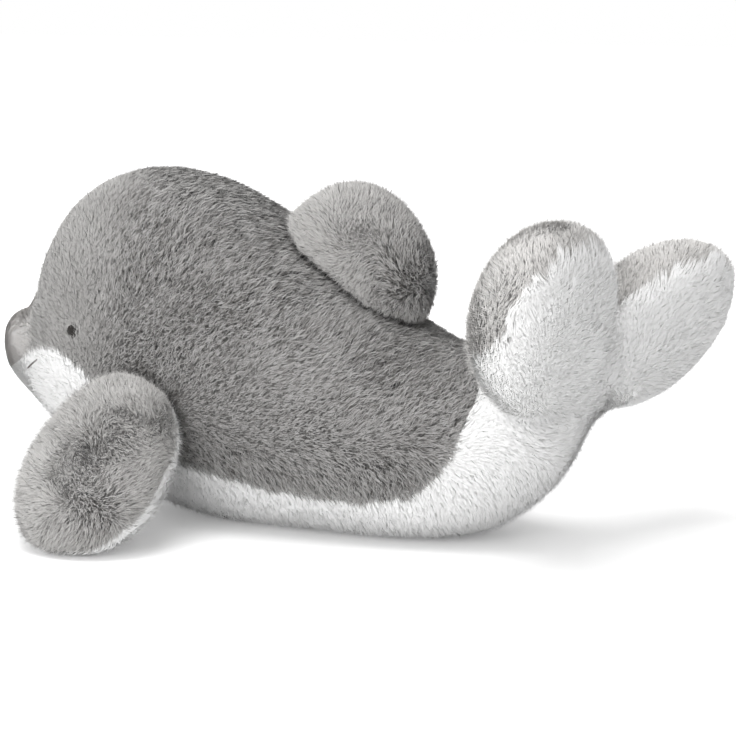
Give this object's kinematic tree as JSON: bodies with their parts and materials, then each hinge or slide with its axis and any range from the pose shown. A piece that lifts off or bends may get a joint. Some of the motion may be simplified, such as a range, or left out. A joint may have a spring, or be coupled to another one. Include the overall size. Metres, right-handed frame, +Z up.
{
  "type": "plush dolphin",
  "caption": "Soft toy dolphin in grey and white fur, with a short beak, a back fin, side flippers and a two-lobed tail, lying on its belly.",
  "frame": {"origin": "on the floor, under the middle of the toy's bounding box", "axes": "-X towards the snout, +X towards the tail, -Y towards the toy's left side, +Z up"},
  "size_m": [0.3646, 0.268, 0.1732],
  "materials": {
    "grey_fur": "long soft pile",
    "white_fur": "long soft pile",
    "fibre": "loose fibre filling",
    "eye_bead": "glossy"
  },
  "bodies": {
    "root": {"left_side_panel": "grey_fur", "right_side_panel": "grey_fur", "belly_panel": "white_fur", "body_filling": "fibre", "snout_upper_panel": "grey_fur", "snout_lower_panel": "white_fur", "snout_filling": "fibre", "back_fin_left_panel": "grey_fur", "back_fin_right_panel": "grey_fur", "back_fin_filling": "fibre", "left_flipper_upper_panel": "grey_fur", "left_flipper_lower_panel": "white_fur", "left_flipper_filling": "fibre", "right_flipper_upper_panel": "grey_fur", "right_flipper_lower_panel": "white_fur", "right_flipper_filling": "fibre", "left_fluke_upper_panel": "grey_fur", "left_fluke_lower_panel": "white_fur", "left_fluke_filling": "fibre", "right_fluke_upper_panel": "grey_fur", "right_fluke_lower_panel": "white_fur", "right_fluke_filling": "fibre", "left_eye": "eye_bead", "right_eye": "eye_bead"}
  },
  "joints": []
}
